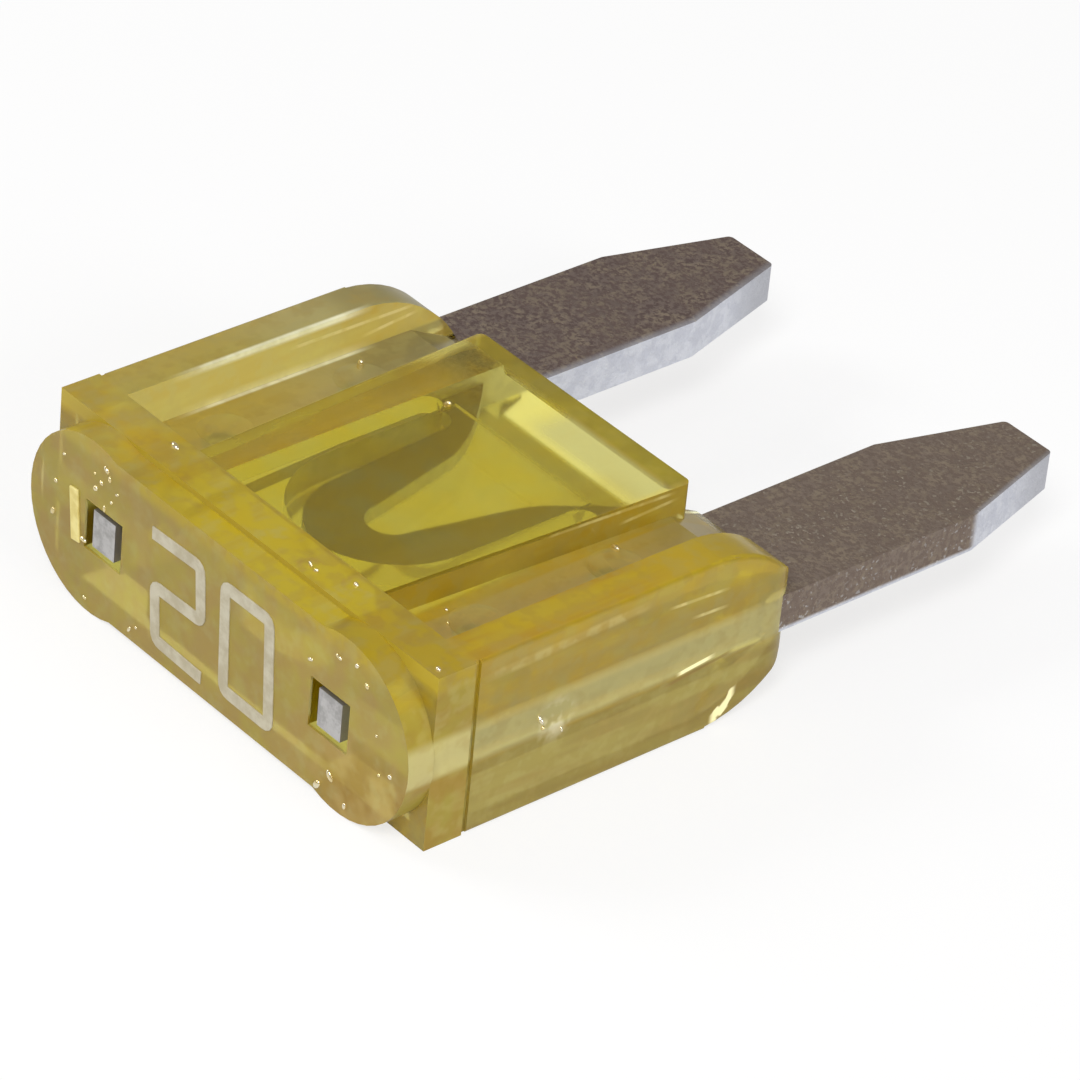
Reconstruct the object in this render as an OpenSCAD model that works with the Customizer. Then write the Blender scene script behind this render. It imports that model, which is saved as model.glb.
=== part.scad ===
// Small automotive blade fuse: a one-piece clear moulded housing and a
// one-piece stamped fuse element with two blades and a U-shaped link.
// Millimetres, +Z up. It lies on a wide face, head towards -Y, blades to +Y.

/* [Overall] */
// Width of the housing
body_w = 10.9; // [10.8:0.1:11.4]
// Thickness of the housing, which is also its height as it lies
body_t = 3.7; // [3.6:0.1:4.0]
// Length from the head face to the blade tips
total_l = 16.3; // [15.9:0.1:16.8]

/* [Head] */
// Depth of the head with the round lobes
cap_d = 0.56; // [0.4:0.02:0.8]
// How far the lobes stand out past the sides of the housing
lobe_out = 0.06; // [0.0:0.02:0.1]
// Step from the flange down to the head's straight middle
waist_step = 0.12; // [0.06:0.02:0.2]
// Depth of the square flange behind the head
flange_d = 0.85; // [0.7:0.05:1.1]
// Length of the narrow side groove behind the flange
groove_l = 0.11; // [0.06:0.01:0.16]
// Depth of that groove
groove_d = 0.07; // [0.04:0.01:0.12]

/* [Body] */
// Where the housing ends round the blades, from the head face
nose_end = 9.2; // [9.0:0.05:9.5]
// Where the wide faces start to slope down to the nose
nose_start = 7.1; // [6.8:0.1:7.6]
// Plastic left above and below the blade at the nose
nose_lip = 0.1; // [0.08:0.01:0.25]
// How far the sloped faces bulge beyond a straight line
nose_bulge = 0.32; // [0.1:0.01:0.34]
// Radius on the side edges of the sloped faces
slope_r = 0.12; // [0.08:0.01:0.2]
// Corner radius of the nose, seen from above
nose_r = 0.75; // [0.5:0.05:1.0]
// How far the nose laps over a blade's inner edge
nose_lap = 0.05; // [0.04:0.01:0.1]
// Width of each side rail
rail_w = 0.85; // [0.7:0.05:1.0]
// Depth of the valleys beside the central box
valley_d = 0.8; // [0.6:0.05:0.85]
// Where the valley floors start to slope down to the blades
valley_end = 8.05; // [7.8:0.05:8.3]
// Plastic left above and below the blade where they end
valley_lip = 0.08; // [0.05:0.01:0.12]
// Width by which a rail's inner face leans in at the valley floor
rail_lean_w = 0.1; // [0.05:0.01:0.15]
// Radius on the rails' outer edges
edge_r = 0.08; // [0.05:0.01:0.2]

/* [Central box] */
// Half width of the box at the flange
box_hw_head = 2.65; // [2.55:0.05:2.8]
// Half width of the box at its end
box_hw_end = 3.0; // [2.9:0.05:3.2]
// Depth of the box's top below the rails
box_top_d = 0.2; // [0.1:0.02:0.3]
// Where the box ends, from the head face
box_end = 8.5; // [8.3:0.05:8.6]
// Radius of the box's upright end corners
box_r = 0.15; // [0.1:0.05:0.6]
// Room round the crown and arms of the link in their pocket
pocket_room = 0.35; // [0.25:0.05:0.4]
// Height of the pocket
pocket_h = 1.0; // [0.95:0.05:1.4]
// From the end of the pocket's side walls to the closed end of the element's slits
wall_room = 0.15; // [0.1:0.05:0.3]
// Radius between the box end and the side sections
notch_r = 0.3; // [0.2:0.05:0.35]

/* [Test points] */
// Width of each test opening in the head
test_w = 1.1; // [1.0:0.05:1.2]
// Height of each test opening
test_h = 1.05; // [0.95:0.05:1.15]
// From a blade's inner edge to the middle of its test opening
test_in = 0.75; // [0.65:0.05:0.95]
// Width of the metal test tab behind it
tab_w = 0.65; // [0.5:0.05:0.8]
// How far the tab stands back from the head face
tab_back = 0.02; // [0.0:0.01:0.3]

/* [Fuse element] */
// Width of each blade
blade_w = 2.8; // [2.7:0.05:2.9]
// Thickness of the blades
blade_t = 0.8; // [0.7:0.05:0.9]
// From the side of the housing to the blade's outer edge
blade_inset = 0.1; // [0.06:0.01:0.14]
// Side wall of the housing beside the inner part of a blade
side_wall = 0.3; // [0.26:0.02:0.4]
// Where the blade steps out to its full width, from the head face
shoulder_y = 8.4; // [8.2:0.05:8.6]
// Length of the tapered tip
tip_l = 2.7; // [2.3:0.1:3.0]
// Width of the flat at the very tip
tip_w = 1.26; // [1.1:0.02:1.5]
// Radius of the tip's corners
tip_r = 0.12; // [0.06:0.02:0.2]
// Depth of the element's closed end below the head face
plate_start = 0.95; // [0.9:0.01:1.1]
// Thickness of the link
link_t = 0.3; // [0.2:0.05:0.5]
// Outer radius of the link's crown
link_r = 1.6; // [1.5:0.05:1.7]
// Inner radius of the link's crown
link_ri = 0.5; // [0.4:0.05:0.6]
// Top of the crown, from the head face
crown_y = 2.37; // [2.3:0.01:2.5]
// Width of the strip across the crown
crown_w = 1.13; // [1.0:0.01:1.2]
// How far the arms lean outwards from the crown to the slits' ends
arm_lean = 0.2; // [0.1:0.05:0.3]
// Closed end of the slits between the arms and the blades
slit_end = 7.05; // [6.9:0.05:7.2]
// Half width between the arms where they start to flare
flare_hw = 0.95; // [0.85:0.05:1.05]
// Where the arms start to flare, from the head face
flare_start = 6.0; // [5.8:0.1:6.2]
// Where the flares meet the blades' inner edges
flare_end = 8.25; // [8.1:0.05:8.4]
// Gap all round between the element and its slots
slot_gap = 0.03; // [0.02:0.01:0.05]

/* [Stakes] */
// Diameter of the moulded stakes and of the blade holes they fill
stake_d = 0.9; // [0.7:0.05:1.0]
// From a blade's inner edge to the middle of its stakes
stake_in = 1.1; // [0.95:0.05:1.25]
// Where the first pair of stakes is, from the head face
stake_y1 = 3.0; // [2.8:0.1:3.2]
// Where the second pair is
stake_y2 = 6.2; // [6.0:0.1:6.4]
// Width of the shallow round dimple that the staking tool leaves
dimple_w = 1.1; // [0.9:0.05:1.2]
// Depth of that dimple
dimple_d = 0.1; // [0.06:0.01:0.16]

/* [Hidden] */
$fn = 64;
eps = 0.01;
over = 1;
half_w = body_w / 2;
mid_z = body_t / 2;
body_y = cap_d + flange_d;
lobe_r = mid_z;
lobe_x = half_w + lobe_out - lobe_r;
blade_out = half_w - blade_inset;
blade_in = blade_out - blade_w;
plate_out = half_w - side_wall;
notch_hw = blade_in - nose_lap;
nose_z = mid_z + blade_t / 2 + nose_lip;
floor_z = body_t - valley_d;
valley_z = mid_z + blade_t / 2 + valley_lip;
rail_in = half_w - rail_w;
tip_mid = (blade_in + blade_out) / 2;
stake_x = blade_in + stake_in;
test_x = blade_in + test_in;
link_c = crown_y + link_r;
link_ci = crown_y + crown_w + link_ri;
arm_out = link_r + arm_lean;
slit_r = (blade_in - arm_out) / 2;
pocket_r = link_r + pocket_room;
wall_r = (blade_in - slot_gap - pocket_r) / 2;
wall_y = slit_end - wall_room - wall_r;
dimple_r = (dimple_w * dimple_w / 4 + dimple_d * dimple_d) / (2 * dimple_d);

// The arc of the sloped face, through its two ends with the given bulge
run = nose_end - nose_start;
drop = body_t - nose_z;
chord = sqrt(run * run + drop * drop);
arc_r = (chord * chord / 4 + nose_bulge * nose_bulge) / (2 * nose_bulge);
arc_y = (nose_start + nose_end) / 2 - (arc_r - nose_bulge) * drop / chord;
arc_z = (body_t + nose_z) / 2 - (arc_r - nose_bulge) * run / chord;

// Extrude a shape drawn in X and Z from y = a to y = b
module along_y(a, b) {
  translate([0, b, 0]) rotate([90, 0, 0]) linear_extrude(height = b - a) children();
}

// Extrude a shape drawn in Y and Z from x = a to x = b
module along_x(a, b) {
  translate([a, 0, 0]) rotate([90, 0, 90]) linear_extrude(height = b - a) children();
}

// A rectangle between two corners
module rect(x0, y0, x1, y1) {
  translate([x0, y0]) square([x1 - x0, y1 - y0]);
}

// A rectangle with four equal round corners
module round_rect(x0, y0, x1, y1, r) {
  rect(x0 + r, y0, x1 - r, y1);
  rect(x0, y0 + r, x1, y1 - r);
  for (x = [x0 + r, x1 - r])
    for (y = [y0 + r, y1 - r])
      translate([x, y]) circle(r = r);
}

// The same thing on both sides of the middle
module both() {
  children();
  mirror([1, 0, 0]) children();
}

// Head with its two round lobes
module head() {
  along_y(0, cap_d + eps) {
    rect(-lobe_x, waist_step, lobe_x, body_t - waist_step);
    for (x = [-lobe_x, lobe_x]) translate([x, mid_z]) circle(r = lobe_r);
  }
}

// Cross-section of the body: two rails and the web between them
module body_section() {
  difference() {
    round_rect(-half_w, 0, half_w, body_t, edge_r);
    for (m = [0, 1])
      translate([0, m * body_t]) mirror([0, m])
        polygon([[-(rail_in - rail_lean_w), valley_d], [-rail_in, 0], [-rail_in, -over],
                 [rail_in, -over], [rail_in, 0], [rail_in - rail_lean_w, valley_d]]);
  }
}

// Body from above: round nose corners and the notch between the side sections
module body_plan() {
  difference() {
    union() {
      rect(-half_w, body_y, half_w, nose_end - nose_r);
      rect(-half_w + nose_r, body_y, half_w - nose_r, nose_end);
      both() translate([half_w - nose_r, nose_end - nose_r]) circle(r = nose_r);
    }
    rect(-notch_hw, box_end + notch_r, notch_hw, nose_end + over);
    rect(-notch_hw + notch_r, box_end, notch_hw - notch_r, nose_end + over);
    both() translate([notch_hw - notch_r, box_end + notch_r]) circle(r = notch_r);
  }
}

// Body from the side: flat, then an arc down to the nose above and below
module body_side() {
  rect(body_y - over, 0, nose_start, body_t);
  intersection() {
    rect(nose_start - eps, 0, nose_end, body_t);
    translate([arc_y, arc_z]) circle(r = arc_r, $fn = 720);
    translate([arc_y, body_t - arc_z]) circle(r = arc_r, $fn = 720);
  }
}

// Lower slopes of the valleys between the rails, above and below
module valley_slopes() {
  w = rail_in - rail_lean_w;
  for (m = [0, 1])
    translate([0, 0, m * body_t]) mirror([0, 0, m])
      along_x(-w, w)
        polygon([[valley_end, valley_d], [nose_end, body_t - valley_z], [nose_end + over, body_t - valley_z],
                 [nose_end + over, -over], [valley_end, -over]]);
}

// Material outside the round side edges of the sloped faces
module slope_edges() {
  for (m = [0, 1])
    translate([0, 0, m * body_t]) mirror([0, 0, m])
      both() intersection() {
        translate([0, arc_y, arc_z]) rotate([0, 90, 0]) rotate_extrude() difference() {
          translate([arc_r - slope_r, half_w - slope_r]) square([slope_r + over, slope_r + over]);
          translate([arc_r - slope_r, half_w - slope_r]) circle(r = slope_r);
        }
        translate([0, nose_start, mid_z]) cube([body_w, run + over, body_t]);
      }
}

// Central box, a little wider towards the blades
module central_box() {
  y1 = box_end - box_r;
  w1 = box_hw_end;
  translate([0, 0, box_top_d]) linear_extrude(height = body_t - 2 * box_top_d) {
    polygon([[-box_hw_head, body_y - eps], [box_hw_head, body_y - eps], [w1, y1], [-w1, y1]]);
    rect(-w1 + box_r, y1 - eps, w1 - box_r, box_end);
    both() translate([w1 - box_r, y1]) circle(r = box_r);
  }
}

// Pocket for the link, and the flat mouth that it opens into
module pocket() {
  translate([0, 0, mid_z - pocket_h / 2]) linear_extrude(height = pocket_h) {
    translate([0, link_c]) circle(r = pocket_r);
    rect(-pocket_r, link_c, pocket_r, slit_end);
  }
  h = blade_t + 2 * slot_gap;
  translate([0, 0, mid_z - h / 2]) linear_extrude(height = h)
    difference() {
      rect(-blade_in, wall_y, blade_in, nose_end + over);
      both() translate([pocket_r + wall_r, wall_y]) circle(r = wall_r);
    }
}

// Slot for one blade, open at the nose and into the mouth
module blade_slot() {
  h = blade_t + 2 * slot_gap;
  translate([0, 0, mid_z - h / 2]) linear_extrude(height = h) {
    rect(blade_in - slot_gap, plate_start - slot_gap, plate_out + slot_gap, nose_end + over);
    rect(plate_out - slot_gap, shoulder_y - slot_gap, blade_out + slot_gap, nose_end + over);
  }
}

// Square hole in the head through which the metal is tested
module test_opening() {
  along_y(-over, plate_start)
    rect(test_x - test_w / 2, mid_z - test_h / 2, test_x + test_w / 2, mid_z + test_h / 2);
}

// Stakes through one blade's holes
module stakes() {
  for (y = [stake_y1, stake_y2])
    translate([stake_x, y, mid_z - blade_t]) cylinder(d = stake_d, h = 2 * blade_t);
}

// Shallow cups over and under the stakes
module dimples() {
  for (y = [stake_y1, stake_y2])
    for (m = [0, 1])
      translate([stake_x, y, m * body_t]) mirror([0, 0, m])
        intersection() {
          translate([0, 0, valley_d + dimple_d - dimple_r]) sphere(r = dimple_r, $fn = 96);
          translate([-over, -over, valley_d - eps]) cube([2 * over, 2 * over, over]);
        }
}

module housing() {
  color([0.68, 0.6, 0.16, 0.6])
    translate([0, -total_l / 2, 0]) {
      difference() {
        union() {
          head();
          translate([-half_w, cap_d, 0]) cube([body_w, flange_d, body_t]);
          difference() {
            intersection() {
              along_y(body_y - eps, nose_end) body_section();
              linear_extrude(height = body_t) body_plan();
              along_x(-half_w, half_w) body_side();
            }
            valley_slopes();
            slope_edges();
          }
          central_box();
        }
        both() translate([half_w - groove_d, body_y, -over]) cube([over, groove_l, body_t + 2 * over]);
        pocket();
        both() blade_slot();
        both() test_opening();
        both() dimples();
      }
      both() stakes();
    }
}

// One blade from above, with its narrower part inside the housing
module blade_plan() {
  y1 = total_l - tip_l;
  a = atan((blade_w - tip_w) / 2 / tip_l);
  cx = tip_w / 2 - tip_r * (1 - sin(a)) / cos(a);
  cy = total_l - tip_r;
  difference() {
    union() {
      rect(blade_in, plate_start, plate_out, shoulder_y + eps);
      rect(blade_in, shoulder_y, blade_out, y1);
      polygon([[blade_in, y1 - eps], [blade_out, y1 - eps], [blade_out, y1],
               [tip_mid + cx + tip_r * cos(a), cy + tip_r * sin(a)], [tip_mid + cx, cy],
               [tip_mid - cx, cy], [tip_mid - cx - tip_r * cos(a), cy + tip_r * sin(a)], [blade_in, y1]]);
      rect(tip_mid - cx, cy - eps, tip_mid + cx, total_l);
      for (x = [-cx, cx]) translate([tip_mid + x, cy]) circle(r = tip_r);
      rect(test_x - tab_w / 2, tab_back, test_x + tab_w / 2, plate_start + eps);
    }
    for (y = [stake_y1, stake_y2]) translate([stake_x, y]) circle(d = stake_d);
  }
}

// U-shaped link from above: crown, two arms and the flares to the blades
module link_plan() {
  flare = [for (i = [0:8]) let (t = i / 8)
    [flare_hw + (blade_in - flare_hw) * pow(t, 1.5), flare_start + (flare_end - flare_start) * t]];
  difference() {
    union() {
      translate([0, link_c]) circle(r = link_r);
      polygon([[-link_r, link_c], [link_r, link_c], [arm_out, slit_end - slit_r],
               [blade_in + eps, slit_end - slit_r], [blade_in + eps, flare_end],
               [-blade_in - eps, flare_end], [-blade_in - eps, slit_end - slit_r],
               [-arm_out, slit_end - slit_r]]);
    }
    both() translate([arm_out + slit_r, slit_end - slit_r]) circle(r = slit_r);
    translate([0, link_ci]) circle(r = link_ri);
    both() polygon(concat([[-eps, link_ci], [link_ri, link_ci]], flare,
                          [[blade_in, flare_end + over], [-eps, flare_end + over]]));
  }
}

module fuse_element() {
  color([0.55, 0.52, 0.5])
    translate([0, -total_l / 2, 0]) {
      both() translate([0, 0, mid_z - blade_t / 2]) linear_extrude(height = blade_t) blade_plan();
      translate([0, 0, mid_z - link_t / 2]) linear_extrude(height = link_t) link_plan();
    }
}

housing();
fuse_element();
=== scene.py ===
import math

import bmesh
import bpy
from mathutils import Matrix, Vector


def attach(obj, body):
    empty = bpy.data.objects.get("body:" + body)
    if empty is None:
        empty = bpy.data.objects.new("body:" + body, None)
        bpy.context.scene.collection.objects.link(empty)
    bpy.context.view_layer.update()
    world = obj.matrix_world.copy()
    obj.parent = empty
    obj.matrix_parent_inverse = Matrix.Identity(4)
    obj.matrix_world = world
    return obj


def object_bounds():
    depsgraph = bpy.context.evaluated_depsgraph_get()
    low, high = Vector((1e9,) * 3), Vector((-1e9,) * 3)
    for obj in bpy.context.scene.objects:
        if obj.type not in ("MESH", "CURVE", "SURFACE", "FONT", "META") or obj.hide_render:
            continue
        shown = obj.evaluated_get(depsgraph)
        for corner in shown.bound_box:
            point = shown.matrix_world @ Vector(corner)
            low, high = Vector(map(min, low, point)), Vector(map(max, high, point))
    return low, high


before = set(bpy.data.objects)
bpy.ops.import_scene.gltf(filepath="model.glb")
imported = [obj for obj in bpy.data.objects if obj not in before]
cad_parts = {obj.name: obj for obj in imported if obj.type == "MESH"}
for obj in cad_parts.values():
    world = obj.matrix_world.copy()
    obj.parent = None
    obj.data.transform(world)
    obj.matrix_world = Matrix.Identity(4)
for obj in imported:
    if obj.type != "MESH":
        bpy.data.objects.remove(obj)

cad_low, cad_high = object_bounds()
mm = 0.001

# Camera: a long lens from the near right, above the head, at the photograph's viewing angle.
# It is turned a little about its own line of sight.
right = Vector((0.63983318, 0.76398701, 0.08329075))
up = Vector((-0.47330107, 0.30634347, 0.82591754))
ahead = Vector((-0.6054747, 0.56787104, -0.55760458))
lens_data = bpy.data.cameras.new("camera")
lens_data.sensor_width = 36.0
lens_data.lens = 6078.36 / 1080 * 36
lens_data.clip_start = 0.01
lens_data.clip_end = 10.0
camera = bpy.data.objects.new("camera", lens_data)
turn = Matrix((right, up, -ahead)).transposed().to_4x4()
camera.matrix_world = Matrix.Translation(Vector((68.386, -64.589, 63.789)) * mm) @ turn
bpy.context.scene.collection.objects.link(camera)
bpy.context.scene.camera = camera
bpy.context.scene.view_settings.view_transform = "Standard"

# Studio: a pale floor, an even white sky and three large soft lights.
# The floor is seen as plain paper, with the fuse's shadow. It and the sky shine evenly through the
# plastic, which the lights themselves don't, so that the inside has no grain.


class Wire:
    """An output of a material node that is used like a number in sums."""

    def __init__(self, tree, socket):
        self.tree = tree
        self.socket = socket

    def node(self, kind, out=0, settings=(), **inputs):
        """Any other node. Inputs are named by socket, with _ for a space, or by number as n0, n1."""
        made = self.tree.nodes.new(kind)
        for name, value in dict(settings).items():
            setattr(made, name, value)
        for name, value in inputs.items():
            key = int(name[1:]) if name[0] == "n" and name[1:].isdigit() else name.replace("_", " ")
            plug(self.tree, made.inputs[key], value)
        return Wire(self.tree, made.outputs[out])

    def maths(self, kind, first, second=0.0):
        return self.node("ShaderNodeMath", settings={"operation": kind}, n0=first, n1=second)

    def __add__(self, other):
        return self.maths("ADD", self, other)

    def __radd__(self, other):
        return self.maths("ADD", other, self)

    def __sub__(self, other):
        return self.maths("SUBTRACT", self, other)

    def __rsub__(self, other):
        return self.maths("SUBTRACT", other, self)

    def __mul__(self, other):
        return self.maths("MULTIPLY", self, other)

    def __rmul__(self, other):
        return self.maths("MULTIPLY", other, self)

    def __abs__(self):
        return self.maths("ABSOLUTE", self)

    def smooth(self, low, high):
        """0 below low, 1 above high, with a soft step between."""
        return self.node("ShaderNodeMapRange", settings={"interpolation_type": "SMOOTHSTEP"},
                         Value=self, From_Min=low, From_Max=high)

    def noise(self, scale, detail=4.0, rough=0.55):
        """A noise value about this point, scale in features per millimetre."""
        return self.node("ShaderNodeTexNoise", Vector=self, Scale=scale * 1000,
                         Detail=detail, Roughness=rough)

    def stretched(self, along_x, along_y, along_z):
        """This point with its coordinates multiplied, so that a noise on it is drawn out."""
        return self.node("ShaderNodeVectorMath", settings={"operation": "MULTIPLY"},
                         n0=self, n1=(along_x, along_y, along_z))

    def gap(self, point):
        """The distance to a point, in millimetres."""
        point = tuple(v * mm for v in point)
        return self.node("ShaderNodeVectorMath", 1, {"operation": "DISTANCE"}, n0=self, n1=point) * 1000

    def near(self, point, radius, soft):
        """1 within radius of a point, 0 beyond radius + soft, all in millimetres."""
        return self.gap(point).smooth(radius + soft, radius)

    def ring(self, point, radius, width):
        """1 on a circle round a point, 0 away from it, all in millimetres."""
        return abs(self.gap(point) - radius).smooth(width, width * 0.4)

    def parts(self):
        """The three coordinates of a vector, each as a Wire."""
        split = self.node("ShaderNodeSeparateXYZ", Vector=self)
        outputs = split.socket.node.outputs
        return [Wire(self.tree, outputs[i]) for i in range(3)]

    def mix(self, first, second):
        """Blends two colours by this value."""
        return self.node("ShaderNodeMix", 2, {"data_type": "RGBA"}, Factor=self, n6=first, n7=second)


def plug(tree, socket, value):
    """Links a Wire to a socket, or sets the socket's own value."""
    if isinstance(value, Wire):
        tree.links.new(value.socket, socket)
    elif isinstance(value, (tuple, list)) and len(value) == 3 and socket.type == "RGBA":
        socket.default_value = (*value, 1.0)
    else:
        socket.default_value = value


def material(name):
    """A new material: its Principled shader and a Wire with the object's own coordinates."""
    made = bpy.data.materials.new(name)
    made.use_nodes = True
    tree = made.node_tree
    shader = tree.nodes["Principled BSDF"]
    place = Wire(tree, tree.nodes.new("ShaderNodeTexCoord").outputs["Object"])
    return made, shader, place


def blend(tree, share, first, second):
    """A Mix Shader of two shaders, with this share of the second."""
    made = tree.nodes.new("ShaderNodeMixShader")
    plug(tree, made.inputs[0], share)
    tree.links.new(first.outputs[0], made.inputs[1])
    tree.links.new(second.outputs[0], made.inputs[2])
    return made


def ray_kinds(tree, *names):
    """A Wire for each of these kinds of ray: 1 for a ray of that kind, else 0."""
    rays = tree.nodes.new("ShaderNodeLightPath")
    return [Wire(tree, rays.outputs[name]) for name in names]


sky = bpy.data.worlds.new("sky")
bpy.context.scene.world = sky
sky.use_nodes = True
white = sky.node_tree.nodes["Background"]
white.inputs["Color"].default_value = (1.0, 0.98, 0.97, 1.0)
sky.cycles.sampling_method = "NONE"
seen, through = ray_kinds(sky.node_tree, "Is Camera Ray", "Is Transmission Ray")
plug(sky.node_tree, white.inputs["Strength"], 0.3 + 0.7 * seen + 0.45 * through)


def soft_light(name, place, power):
    """A square area light aimed at the middle of the fuse."""
    data = bpy.data.lights.new(name, "AREA")
    data.size = 0.10
    data.energy = power
    lamp = bpy.data.objects.new(name, data)
    lamp.location = Vector(place)
    lamp.visible_transmission = False
    lamp.rotation_mode = "QUATERNION"
    lamp.rotation_quaternion = (Vector((0, 0, 0.002)) - lamp.location).to_track_quat("-Z", "Y")
    bpy.context.scene.collection.objects.link(lamp)


soft_light("key", (0.12, -0.16, 0.22), 0.55)
soft_light("left", (-0.18, -0.12, 0.16), 0.20)
soft_light("right", (0.25, 0.02, 0.12), 0.25)

ground = bpy.data.meshes.new("floor")
reach = 0.6
floor_corners = [(-reach, -reach, 0), (reach, -reach, 0), (reach, reach, 0), (-reach, reach, 0)]
ground.from_pydata(floor_corners, [], [(0, 1, 2, 3)])
floor = bpy.data.objects.new("floor", ground)
floor.location.z = -0.01 * mm
bpy.context.scene.collection.objects.link(floor)
paper, shader, place = material("floor_paper")
tree = paper.node_tree
fibre = place.noise(0.02, 0.0).smooth(0.3, 0.7)
plug(tree, shader.inputs["Base Color"], fibre.mix((0.93, 0.93, 0.93), (0.95, 0.95, 0.95)))
shader.inputs["Roughness"].default_value = 0.9
shine = tree.nodes.new("ShaderNodeEmission")
shine.inputs["Color"].default_value = (1.0, 1.0, 1.0, 1.0)
seen, mirrored, through = ray_kinds(tree, "Is Camera Ray", "Is Glossy Ray", "Is Transmission Ray")
plug(tree, shine.inputs["Strength"], 0.62 + 0.38 * seen + 0.42 * through)
even = blend(tree, seen * 0.72 + (mirrored + through) * 0.8, shader, shine)
tree.links.new(even.outputs[0], tree.nodes["Material Output"].inputs["Surface"])
ground.materials.append(paper)

# Housing: clear yellow plastic, moulded in one shot, clouded and slightly rippled by use.
# The colour is in the depth of the plastic, with amber clouds and streaks along the mould. Some tints
# are painted light instead: a pale band along the sides, pale highlight lines, glints on the near side
# and a lighter front step on the flange. Each tint below is laid over the ones before it, where its mask
# is 1, and haze is the share that isn't clear.


def facing(tree):
    """The three parts of the surface's direction, without any bump."""
    return Wire(tree, tree.nodes.new("ShaderNodeNewGeometry").outputs["True Normal"]).parts()


def from_head(point):
    """X, distance from the head face and Z of a point, in millimetres."""
    x, y, z = point.parts()
    return x * 1000, y * 1000 - cad_low[1] / mm, z * 1000


def soften(piece, width):
    """Rounds a piece's sharp edges by a bevel of this width in millimetres."""
    bevel = piece.modifiers.new("edges", "BEVEL")
    bevel.width = width * mm
    bevel.segments = 3
    bevel.limit_method = "ANGLE"
    bevel.angle_limit = math.radians(30)
    bevel.harden_normals = False


def stroke(u, v, first, last, width):
    """A soft line on a flat face, from one point (u, v) to another with a larger u, in millimetres."""
    slope = (last[1] - first[1]) / (last[0] - first[0])
    across = abs(v - first[1] - slope * (u - first[0])).smooth(width, width * 0.3)
    return across * u.smooth(first[0] - 0.1, first[0] + 0.3) * u.smooth(last[0] + 0.1, last[0] - 0.3)


def clear_shader(tree):
    """The shader of the plastic where light goes through it."""
    made = tree.nodes.new("ShaderNodeBsdfPrincipled")
    made.inputs["Base Color"].default_value = (0.97, 0.94, 0.6, 1.0)
    made.inputs["Transmission Weight"].default_value = 1.0
    made.inputs["IOR"].default_value = 1.5
    made.inputs["Specular Tint"].default_value = (1.0, 0.92, 0.6, 1.0)
    return made


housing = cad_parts["housing"]
clear, shader, place = material("clear_yellow_plastic")
tree = clear.node_tree
x, deep, z = from_head(place)
nx, ny, nz = facing(tree)
cloud = place.noise(1.1, 2.0, 0.6).smooth(0.38, 0.62)
mottle = place.noise(2.4, 2.0, 0.6).smooth(0.42, 0.62)
streak = place.stretched(1, 0.14, 1).noise(2.5, 2.0).smooth(0.35, 0.65)
top = nz.smooth(0.6, 0.9)
near_side = nx.smooth(0.6, 0.9)
head = ny.smooth(-0.6, -0.9) * deep.smooth(0.4, 0.2)
amber = (0.62, 0.42, 0.03)
olive = (0.55, 0.45, 0.10)
brown = (0.46, 0.32, 0.08)
tint = cloud.mix(olive, amber)
tint = (streak * 0.6 * abs(x).smooth(2.6, 3.0)).mix(tint, brown)
low_right = head * x.smooth(2.0, 4.0) * z.smooth(2.2, 1.2)
head_tint = low_right.mix((0.42, 0.34, 0.06), (0.25, 0.13, 0.01))
tint = (head * 0.85).mix(tint, cloud.mix((0.41, 0.27, 0.07), head_tint))
low_side = near_side * z.smooth(1.55, 1.4)
tint = (low_side * 0.9).mix(tint, streak.mix((0.25, 0.17, 0.035), (0.31, 0.245, 0.05)))
flange = deep.smooth(1.55, 1.3) * z.smooth(3.2, 3.5)
golden = mottle.mix((0.46, 0.33, 0.01), (0.39, 0.27, 0.015))
tint = (flange * (0.25 + 0.6 * x.smooth(-4.0, -1.5))).mix(tint, golden)
flange_side = near_side * deep.smooth(1.5, 1.4) * z.smooth(3.5, 3.3)
tint = (flange_side * 0.8).mix(tint, cloud.mix((0.29, 0.18, 0.015), (0.31, 0.25, 0.03)))
# Painted light: a pale band along both sides, where the lit blade edge shows through.
painted_light_band = abs(nx).smooth(0.6, 0.9) * z.smooth(1.45, 1.6) * z.smooth(2.45, 2.2)
tint = (painted_light_band * 0.8).mix(tint, (0.64, 0.58, 0.25))
far_top = top * x.smooth(-2.8, -3.2) * deep.smooth(1.3, 1.6)
tint = (far_top * 0.8).mix(tint, deep.smooth(3.5, 6.0).mix((0.66, 0.54, 0.14), (0.66, 0.61, 0.29)))
far_end = x.smooth(-2.9, -3.3) * x.smooth(-5.42, -5.35) * z.smooth(2.5, 2.8) * deep.smooth(5.8, 6.9)
tint = (far_end * 0.9).mix(tint, (0.29, 0.24, 0.09))
near_rail = x.smooth(3.2, 4.4) * deep.smooth(1.3, 1.6) * z.smooth(2.6, 3.0)
amber_run = deep.smooth(5.0, 6.5).mix((0.58, 0.33, 0.01), (0.70, 0.50, 0.01))
amber_run = streak.mix((0.70, 0.52, 0.01), amber_run)
tint = (near_rail * (0.7 - 0.45 * near_side)).mix(tint, amber_run)
valley = top * x.smooth(3.1, 3.2) * z.smooth(2.95, 2.92)
tint = (valley * 0.65).mix(tint, (0.52, 0.42, 0.19))
box_wall = near_side * x.smooth(3.2, 3.1) * z.smooth(2.85, 2.95)
tint = (box_wall * 0.8).mix(tint, streak.mix((0.60, 0.45, 0.08), (0.56, 0.36, 0.03)))
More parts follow.
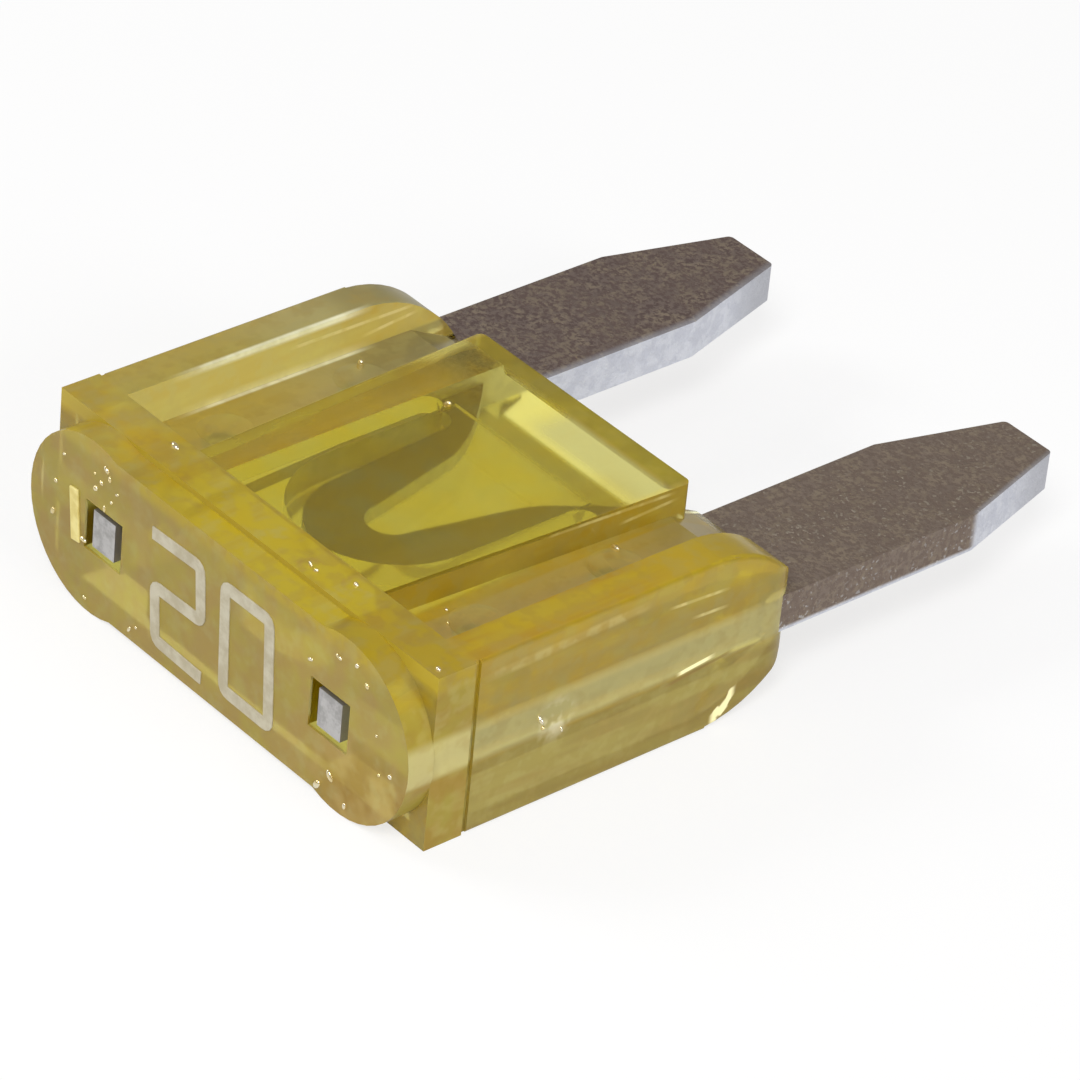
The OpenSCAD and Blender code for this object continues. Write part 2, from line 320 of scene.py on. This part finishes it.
# Painted highlights: thin pale lines along the near side and the near wall of the box.
side_highlight_strokes = stroke(deep, z, (1.6, 3.26), (5.4, 3.4), 0.14) * 0.4
side_highlight_strokes = side_highlight_strokes + stroke(deep, z, (5.9, 3.12), (7.3, 3.04), 0.05)
side_highlight_strokes = side_highlight_strokes + stroke(deep, z, (6.5, 2.70), (7.3, 2.66), 0.05)
wall_highlight_strokes = stroke(deep, z, (5.2, 3.42), (8.1, 3.4), 0.05)
wall_highlight_strokes = wall_highlight_strokes + stroke(deep, z, (6.9, 3.14), (8.2, 3.25), 0.05)
highlight_strokes = near_side * (side_highlight_strokes * x.smooth(5.2, 5.4) + wall_highlight_strokes * x.smooth(3.3, 3.1))
highlight_strokes = highlight_strokes * (0.4 + 0.6 * mottle)
tint = (highlight_strokes * 0.75).mix(tint, (0.84, 0.75, 0.34))
# Painted highlights along the far rail's inner top edge and the far valley's floor corner.
rail_top_highlight = abs(x + 4.62).smooth(0.1, 0.03) * z.smooth(3.55, 3.65)
valley_corner_highlight = abs(x + 4.45).smooth(0.08, 0.02) * z.smooth(3.1, 3.0)
corner = (rail_top_highlight + valley_corner_highlight) * deep.smooth(2.2, 3.6) * deep.smooth(7.3, 6.2)
tint = corner.mix(tint, (0.92, 0.90, 0.62))
box_top = abs(x).smooth(3.0, 2.8) * z.smooth(3.4, 3.46) * deep.smooth(1.4, 1.5)
pane = box_top * deep.smooth(6.9, 7.4) * deep.smooth(8.15, 7.95) * x.smooth(-0.5, 0.4)
tint = (pane * 0.9).mix(tint, (0.38, 0.36, 0.19))
strip = box_top * deep.smooth(7.95, 8.15)
tint = (strip * 0.85).mix(tint, cloud.mix((0.24, 0.18, 0.01), (0.31, 0.25, 0.02)))
box_side = box_top * abs(x).smooth(1.5, 2.3) * deep.smooth(7.8, 6.8)
tint = (box_side * 0.8).mix(tint, streak.mix((0.42, 0.32, 0.03), (0.38, 0.26, 0.02)))
rings = place.ring((1.55, -7.33, 3.7), 0.2, 0.09) + place.ring((2.45, -7.0, 3.7), 0.22, 0.09)
rings = rings + place.ring((-3.65, -5.15, 2.9), 0.4, 0.1) + place.ring((3.65, -5.15, 2.9), 0.4, 0.1)
rings = (rings + place.ring((3.65, -1.95, 2.9), 0.4, 0.1)) * mottle
tint = (rings * 0.6).mix(tint, (0.30, 0.19, 0.03))
stain = streak.mix((0.40, 0.25, 0.05), (0.52, 0.47, 0.18))
tint = (mottle * (0.28 - 0.18 * box_top - 0.1 * low_side)).mix(tint, stain)
worn = place.near((5.45, -4.75, 1.75), 0.1, 0.5) * mottle
tint = (worn * 0.6).mix(tint, (0.80, 0.76, 0.58))
# Painted glints: bright lines on the near side toward the nose, also given more haze.
low_line = abs(z - 0.44 - 0.95 * (deep - 7.5) + 0.1 * mottle).smooth(0.17, 0.1)
low_glint = deep.smooth(7.15, 7.3) * deep.smooth(7.8, 7.65) * low_line
rising = z - 0.12 * (deep - 6.7)
line_glint = deep.smooth(6.2, 6.4) * deep.smooth(7.2, 6.9) * abs(rising - 1.6).smooth(0.06, 0.03)
glint = near_side * (low_glint + line_glint)
dark_line = deep.smooth(5.8, 6.2) * deep.smooth(7.7, 7.4) * abs(rising - 1.48).smooth(0.06, 0.02)
dark_line = near_side * dark_line
tint = (dark_line * 0.8).mix(tint, (0.20, 0.12, 0.02))
# Painted light: the flange's front step is painted lighter than the lamps make it.
step = ny.smooth(-0.6, -0.9) * deep.smooth(0.4, 0.5) * flange
tint = step.mix(tint, (0.46, 0.34, 0.03))
middle = 1.85
inner = abs(z - middle).smooth(0.62, 0.56) * abs(x).smooth(5.35, 5.3) * deep.smooth(0.03, 0.06)
ripple = place.noise(1.6, 0.0) * (1 - 0.85 * box_top)
bump = place.node("ShaderNodeBump", Strength=0.12, Distance=0.05 * mm, Height=ripple)
plug(tree, shader.inputs["Base Color"], glint.mix(tint, (1.0, 0.92, 0.5)))
shader.inputs["IOR"].default_value = 1.5
shader.inputs["Specular Tint"].default_value = (1.0, 0.92, 0.6, 1.0)
shader.inputs["Roughness"].default_value = 0.35
plug(tree, shader.inputs["Normal"], bump)
glass = clear_shader(tree)
plug(tree, glass.inputs["Roughness"], 0.18 - 0.12 * box_top)
plug(tree, glass.inputs["Normal"], bump)
slot_wall = clear_shader(tree)
plug(tree, slot_wall.inputs["Roughness"], 0.12 + 0.2 * deep.smooth(2.2, 1.5))
haze = 0.47 + 0.2 * flange - 0.3 * box_top + 0.36 * pane + 0.4 * strip + 0.25 * low_side
haze = haze + 0.16 * box_side * (1 + x.smooth(0.0, -1.0))
haze = haze + glint * 0.6 + worn * 0.3 + dark_line * 0.3 + corner * 0.3 + rings * 0.2 + highlight_strokes * 0.3
haze = haze + 0.4 * step + 0.15 * head + 0.2 * low_right + 0.3 * flange_side + 0.3 * far_end
skin = blend(tree, haze, glass, shader)
whole = blend(tree, inner, skin, slot_wall)
tree.links.new(whole.outputs[0], tree.nodes["Material Output"].inputs["Surface"])
depth = tree.nodes.new("ShaderNodeVolumeAbsorption")
depth.inputs["Color"].default_value = (0.93, 0.89, 0.0, 1.0)
depth.inputs["Density"].default_value = 700.0
tree.links.new(depth.outputs["Volume"], tree.nodes["Material Output"].inputs["Volume"])
housing.data.materials.clear()
housing.data.materials.append(clear)
soften(housing, 0.08)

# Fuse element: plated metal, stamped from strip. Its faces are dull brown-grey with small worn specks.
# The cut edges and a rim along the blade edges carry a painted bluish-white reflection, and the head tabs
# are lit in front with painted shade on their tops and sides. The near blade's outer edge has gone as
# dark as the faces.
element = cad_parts["fuse_element"]
plated, shader, place = material("plated_metal")
tree = plated.node_tree
x, deep, z = from_head(place)
nx, ny, nz = facing(tree)
cloud = place.noise(0.9, 2.0, 0.6).smooth(0.35, 0.65)
grain = place.noise(8.0, 3.0, 0.7).smooth(0.42, 0.58)
blotch = place.noise(2.8, 3.0, 0.7).smooth(0.4, 0.6)
specks = place.noise(11.0, 1.0).smooth(0.62, 0.68) * cloud
open_part = deep.smooth(7.0, 8.6)
near_blade = x.smooth(0.0, 1.0)
dull = cloud.mix((0.20, 0.145, 0.13), (0.275, 0.20, 0.175))
face = grain.mix(dull, blotch.mix((0.33, 0.255, 0.22), (0.45, 0.36, 0.27)))
face = (0.3 * near_blade).mix(face, (0.50, 0.40, 0.29))
face = (specks * (0.2 + 0.6 * near_blade) * open_part).mix(face, (0.62, 0.55, 0.44))
link = abs(z - middle).smooth(0.2, 0.17) * deep.smooth(8.4, 8.3)
face = open_part.mix(link.mix((0.82, 0.58, 0.12), (0.185, 0.16, 0.05)), face)
taper = 0.285 * deep.maths("MAXIMUM", deep - 13.6)
# Painted highlight: a lighter rim along the far blade's inner edge and the near blade's outer edge.
rim_highlight = (-2.55 - taper - x).smooth(0.22, 0.0) * x.smooth(-1.0, -2.0) * deep.smooth(8.4, 8.5)
rim_highlight = rim_highlight + (5.35 - taper - x).smooth(0.14, 0.0) * near_blade * deep.smooth(13.4, 13.7)
side = abs(nz).smooth(0.8, 0.5)
stained = x.smooth(5.0, 5.2) * deep.smooth(13.75, 13.5) * z.smooth(1.47, 1.56)
# Painted reflection: faces that look sideways take a bright bluish-white colour for the light they
# mirror.
painted_sheen = blotch.mix((0.76, 0.78, 0.86), (0.86, 0.88, 0.95))
# Head tabs: the front face takes this lit colour, the sides a dark painted shade.
tab_face = blotch.mix((0.40, 0.39, 0.38), (0.56, 0.55, 0.54))
painted_sheen = deep.smooth(0.9, 0.6).mix(painted_sheen, ny.smooth(-0.5, -0.9).mix((0.24, 0.23, 0.25), tab_face))
painted_sheen = deep.smooth(14.6, 16.0).mix(painted_sheen, (0.62, 0.63, 0.68))
sheen_share = (side + 0.55 * rim_highlight * (1 - side)) * (1 - stained * (0.98 - 0.3 * specks))
face = (side * stained * 0.45).mix(face, (0.13, 0.09, 0.065))
# Painted shade on the tops of the head tabs.
face = deep.smooth(0.9, 0.7).mix(face, (0.20, 0.19, 0.21))
plug(tree, shader.inputs["Base Color"], sheen_share.mix(face, painted_sheen))
plug(tree, shader.inputs["Metallic"], 0.5 + 0.32 * open_part + 0.1 * cloud)
plug(tree, shader.inputs["Roughness"], 0.5 - 0.12 * grain)
rough = (grain + blotch + specks) * open_part
bump = place.node("ShaderNodeBump", Strength=0.5, Distance=0.012 * mm, Height=rough)
plug(tree, shader.inputs["Normal"], bump)
element.data.materials.clear()
element.data.materials.append(plated)
soften(element, 0.04)

# Rating: a plain "20" on the head, pad-printed in thick off-white ink that stands a hair above
# the plastic. Beside it, on the far lobe, is a short pale moulded bar.
ink, shader, place = material("off_white_ink")
tree = ink.node_tree
rubbed = place.noise(3.0, 3.0, 0.65).smooth(0.35, 0.65)
plug(tree, shader.inputs["Base Color"], rubbed.mix((0.42, 0.37, 0.25), (0.53, 0.49, 0.37)))
plug(tree, shader.inputs["Roughness"], 0.4 + 0.15 * rubbed)
bar_plastic, shader, place = material("pale_moulded_bar")
tree = bar_plastic.node_tree
rubbed = place.noise(4.0, 3.0).smooth(0.35, 0.65)
plug(tree, shader.inputs["Base Color"], rubbed.mix((0.66, 0.54, 0.16), (0.78, 0.68, 0.26)))
shader.inputs["Roughness"].default_value = 0.3
head_y = cad_low[1] / mm


def printed_line(name, corners, closed, width, rise, round_off, surface):
    """A raised flat line through these corners on the head face, with its bends rounded off."""
    count = len(corners)
    points = []
    for i, corner in enumerate(corners):
        here = Vector(corner)
        if not closed and i in (0, count - 1):
            points.append(here)
            continue
        before = Vector(corners[i - 1])
        after = Vector(corners[(i + 1) % count])
        start = here + (before - here).normalized() * round_off
        end = here + (after - here).normalized() * round_off
        for step in range(5):
            t = step / 4
            points.append(start * (1 - t) ** 2 + here * (2 * t * (1 - t)) + end * t ** 2)
    total = len(points)
    vertices = []
    for i, point in enumerate(points):
        back = point - points[i - 1] if closed or i else points[1] - point
        forth = points[(i + 1) % total] - point if closed or i < total - 1 else back
        along = (back.normalized() + forth.normalized()).normalized()
        across = Vector((-along.y, along.x)) * (width / 2 / max(0.5, along.dot(back.normalized())))
        for side in (across, -across):
            for y in (head_y - rise, head_y + 0.01):
                vertices.append(((point.x + side.x) * mm, y * mm, (point.y + side.y) * mm))
    faces = []
    for i in range(total if closed else total - 1):
        a, b = 4 * i, 4 * ((i + 1) % total)
        faces += [(a, b, b + 2, a + 2), (a + 2, b + 2, b + 3, a + 3)]
        faces += [(a + 3, b + 3, b + 1, a + 1), (a + 1, b + 1, b, a)]
    if not closed:
        end = 4 * (total - 1)
        faces += [(0, 2, 3, 1), (end, end + 1, end + 3, end + 2)]
    shape = bpy.data.meshes.new(name)
    shape.from_pydata(vertices, [], faces)
    tidy = bmesh.new()
    tidy.from_mesh(shape)
    bmesh.ops.recalc_face_normals(tidy, faces=tidy.faces)
    tidy.to_mesh(shape)
    tidy.free()
    piece = bpy.data.objects.new(name, shape)
    bpy.context.scene.collection.objects.link(piece)
    shape.materials.append(surface)
    soften(piece, 0.02)
    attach(piece, "root")
    return piece


two = [(-1.87, 2.77), (-0.46, 2.82), (-0.36, 1.71), (-1.72, 1.68), (-1.63, 0.57), (-0.26, 0.52)]
nought = [(0.27, 2.82), (1.54, 2.83), (1.69, 0.64), (0.38, 0.66)]
stroke_width = 0.27
ink_rise = 0.02
bend = 0.16
printed_line("digit_2", two, False, stroke_width, ink_rise, bend, ink)
printed_line("digit_0", nought, True, stroke_width, ink_rise, bend, ink)
bar = printed_line("moulded_bar", [(-4.2, 2.42), (-4.08, 1.32)], False, 0.25, 0.04, 0.0, bar_plastic)

# Bubbles: small voids that the moulding left just under the skin. Their walls mirror the light.
# They lie where the photograph shows bright points on the lobes, flange, valleys and box.
void_wall, shader, place = material("bubble_wall")
tree = void_wall.node_tree
cream = place.noise(8.0).smooth(0.4, 0.6)
plug(tree, shader.inputs["Base Color"], cream.mix((0.92, 0.76, 0.38), (1.0, 0.92, 0.66)))
shader.inputs["Metallic"].default_value = 0.9
shader.inputs["Roughness"].default_value = 0.18
head_bubbles = [
    (-4.76, 2.26, 0.04), (-4.81, 1.57, 0.045), (-3.29, 3.30, 0.035), (-3.58, 2.75, 0.05),
    (-3.18, 3.15, 0.035), (-3.88, 1.46, 0.04), (-3.10, 2.70, 0.03), (-3.42, 2.95, 0.03),
    (-2.95, 2.95, 0.025), (-3.62, 3.05, 0.025), (-3.75, 0.25, 0.03), (-2.40, 0.33, 0.03),
    (-2.20, 0.48, 0.025), (-4.55, 2.95, 0.025), (-3.30, 2.45, 0.03), (5.04, 1.59, 0.04),
    (3.13, 0.26, 0.06), (3.46, 0.64, 0.05), (4.75, 1.45, 0.03), (3.9, 0.25, 0.035),
    (3.45, 3.2, 0.035), (3.95, 3.3, 0.04), (4.25, 3.05, 0.035), (2.7, 2.7, 0.03),
    (4.6, 2.2, 0.025),
]
on_head = [(x, 0.0, z, r) for x, z, r in head_bubbles]
elsewhere = [
    (-2.76, 1.11, 3.7, 0.06), (-1.41, 6.35, 3.5, 0.055), (5.23, 0.72, 3.7, 0.05), (3.21, 6.55, 2.9, 0.06),
    (-4.03, 6.45, 2.9, 0.06), (2.45, 1.13, 3.7, 0.045), (1.73, 0.8, 3.7, 0.04), (1.55, 0.83, 3.7, 0.035),
    (3.05, 2.75, 2.9, 0.035), (3.4, 2.5, 2.9, 0.03), (5.45, 3.0, 1.9, 0.05), (5.45, 3.1, 1.65, 0.04),
    (5.45, 3.55, 1.45, 0.03), (4.11, 8.67, 2.6, 0.05),
]
beads = bmesh.new()
for i, (x, deep, z, r) in enumerate(on_head + elsewhere):
    at = Matrix.Translation(Vector((x, deep + head_y, z)) * mm) @ Matrix.Rotation(1.9 * i, 4, "Y")
    at = at @ Matrix.Diagonal((1.1 + 0.5 * (i % 3), 0.8, 1.0, 1.0))
    bmesh.ops.create_icosphere(beads, subdivisions=2, radius=1.25 * r * mm, matrix=at)
shape = bpy.data.meshes.new("bubbles")
beads.to_mesh(shape)
beads.free()
shape.polygons.foreach_set("use_smooth", [True] * len(shape.polygons))
bubbles = bpy.data.objects.new("bubbles", shape)
bpy.context.scene.collection.objects.link(bubbles)
shape.materials.append(void_wall)
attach(bubbles, "root")
